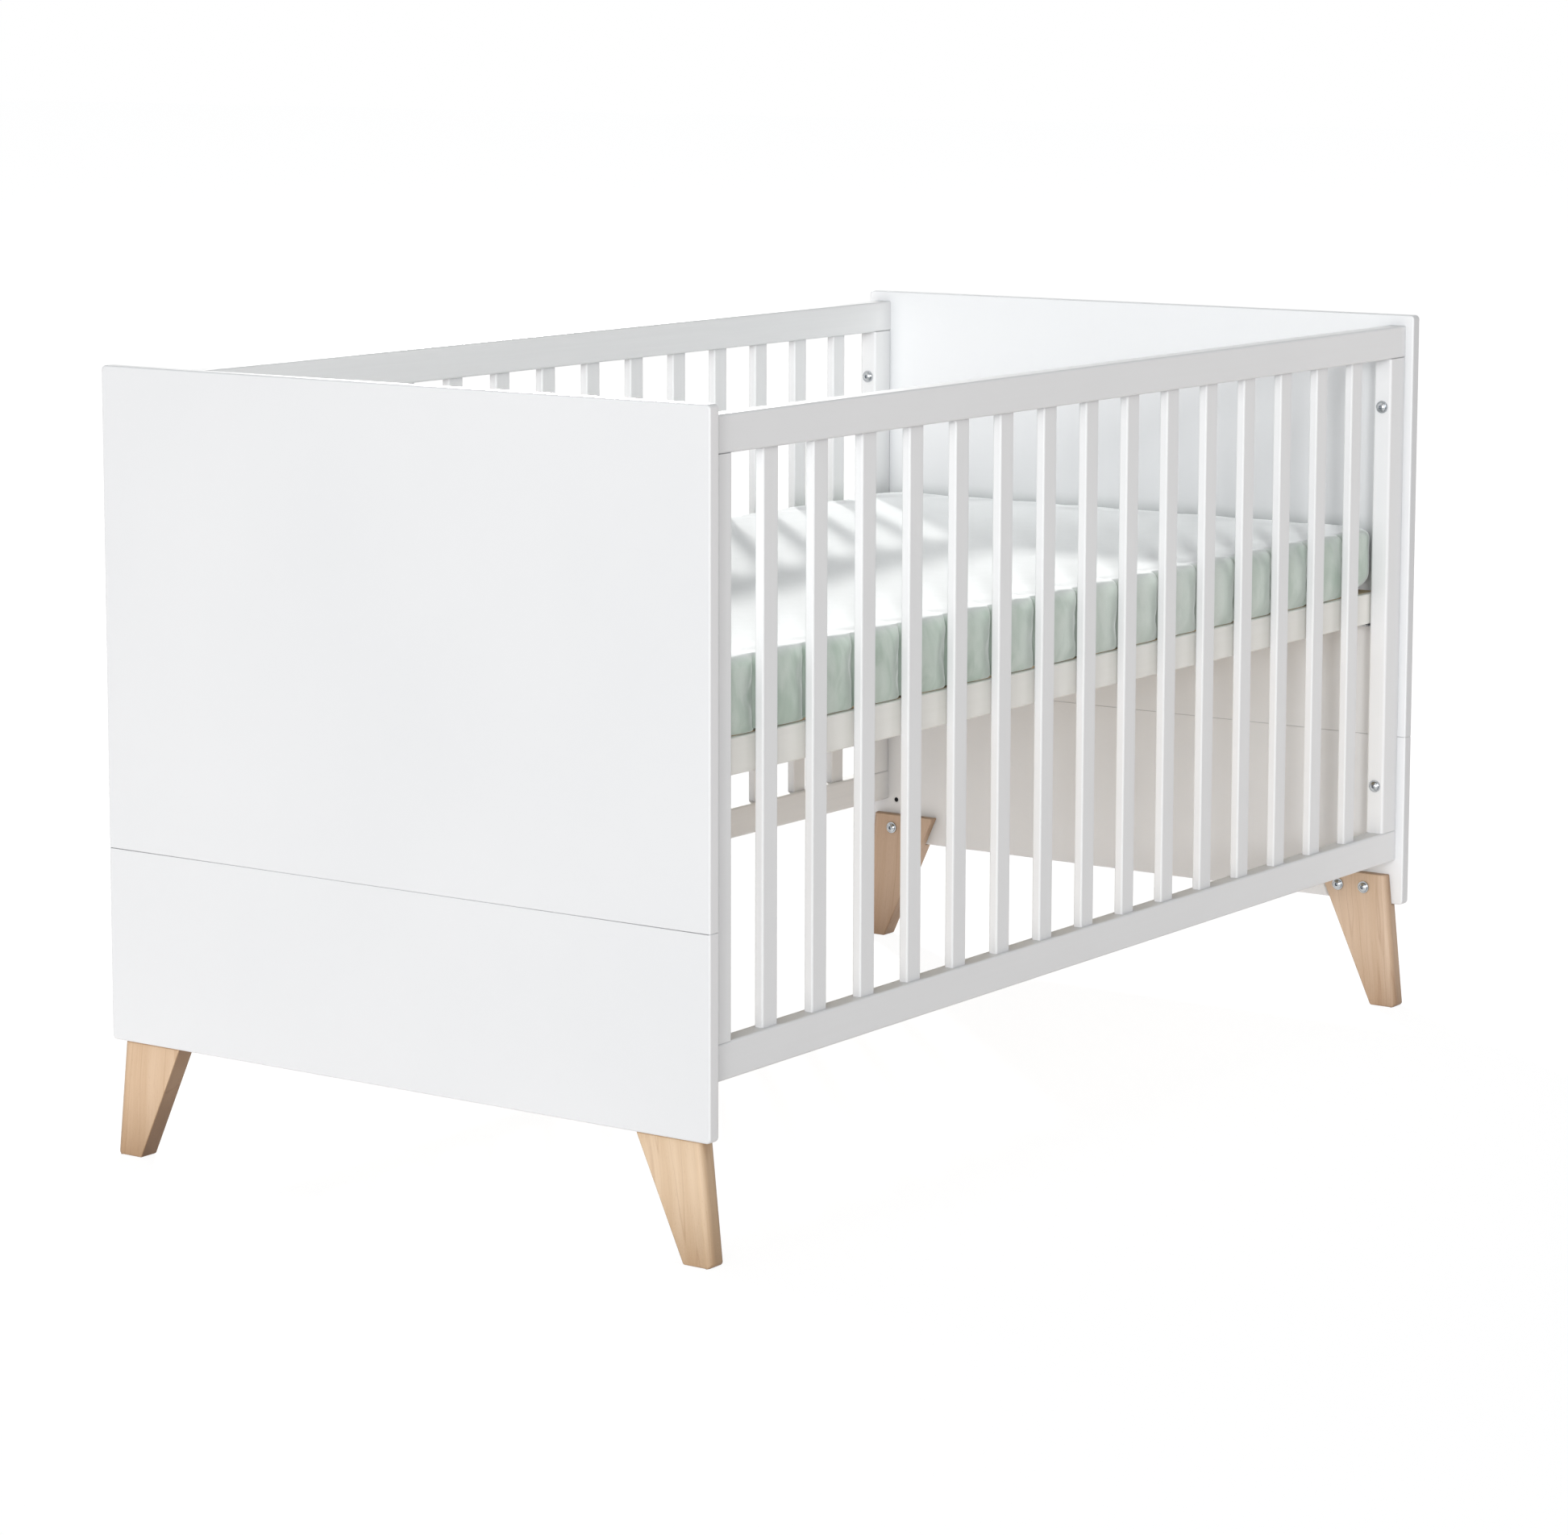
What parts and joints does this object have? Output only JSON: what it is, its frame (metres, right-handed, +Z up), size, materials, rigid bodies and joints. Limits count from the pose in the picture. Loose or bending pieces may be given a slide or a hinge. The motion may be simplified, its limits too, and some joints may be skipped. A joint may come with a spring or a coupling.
{
  "type": "baby crib",
  "caption": "Slatted baby crib with solid board ends, splayed wooden legs, bolted slatted sides, a height-adjustable slatted bed base and a quilted mattress.",
  "frame": {"origin": "on the floor, under the centre of the crib's outer box", "axes": "+X along the crib from the foot end to the head end, +Y from the front side to the rear side, +Z up"},
  "size_m": [1.42, 0.76, 0.82],
  "materials": {
    "white_board": "satin",
    "white_rail": "satin",
    "beech": "satin",
    "ivory_board": "matte",
    "birch": "matte",
    "bolt_steel": "satin",
    "bracket_steel": "satin",
    "cover_fabric": "matte",
    "foam": "matte"
  },
  "bodies": {
    "frame": {"foot_panel_upper": "white_board", "foot_panel_lower": "white_board", "head_panel_upper": "white_board", "head_panel_lower": "white_board", "panel_dowels": "birch", "threaded_inserts": "bolt_steel", "leg_foot_front": "beech", "leg_foot_rear": "beech", "leg_head_front": "beech", "leg_head_rear": "beech", "leg_bolts": "bolt_steel", "front_top_rail": "white_rail", "front_bottom_rail": "white_rail", "rear_top_rail": "white_rail", "rear_bottom_rail": "white_rail", "front_stile_foot": "white_rail", "front_stile_head": "white_rail", "rear_stile_foot": "white_rail", "rear_stile_head": "white_rail", "side_bolts": "bolt_steel", "washers": "bolt_steel", "front_slat_01": "white_rail", "front_slat_02": "white_rail", "front_slat_03": "white_rail", "front_slat_04": "white_rail", "front_slat_05": "white_rail", "front_slat_06": "white_rail", "front_slat_07": "white_rail", "front_slat_08": "white_rail", "front_slat_09": "white_rail", "front_slat_10": "white_rail", "front_slat_11": "white_rail", "front_slat_12": "white_rail", "front_slat_13": "white_rail", "front_slat_14": "white_rail", "front_slat_15": "white_rail", "rear_slat_01": "white_rail", "rear_slat_02": "white_rail", "rear_slat_03": "white_rail", "rear_slat_04": "white_rail", "rear_slat_05": "white_rail", "rear_slat_06": "white_rail", "rear_slat_07": "white_rail", "rear_slat_08": "white_rail", "rear_slat_09": "white_rail", "rear_slat_10": "white_rail", "rear_slat_11": "white_rail", "rear_slat_12": "white_rail", "rear_slat_13": "white_rail", "rear_slat_14": "white_rail", "rear_slat_15": "white_rail", "base_brackets": "bracket_steel", "bracket_bolts": "bolt_steel"},
    "bed_base": {"base_side_front": "ivory_board", "base_side_rear": "ivory_board", "base_slats": "birch", "base_screws": "bolt_steel"},
    "mattress": {"mattress_cover": "cover_fabric", "mattress_core": "foam"}
  },
  "joints": [
    {"name": "base_lift", "type": "slide", "parent": "frame", "child": "bed_base", "axis": [0, 0, 1], "range_m": [0, 0.37]},
    {"name": "mattress_lift", "type": "slide", "parent": "bed_base", "child": "mattress", "axis": [0, 0, 1], "range_m": [0, 0.33]}
  ]
}
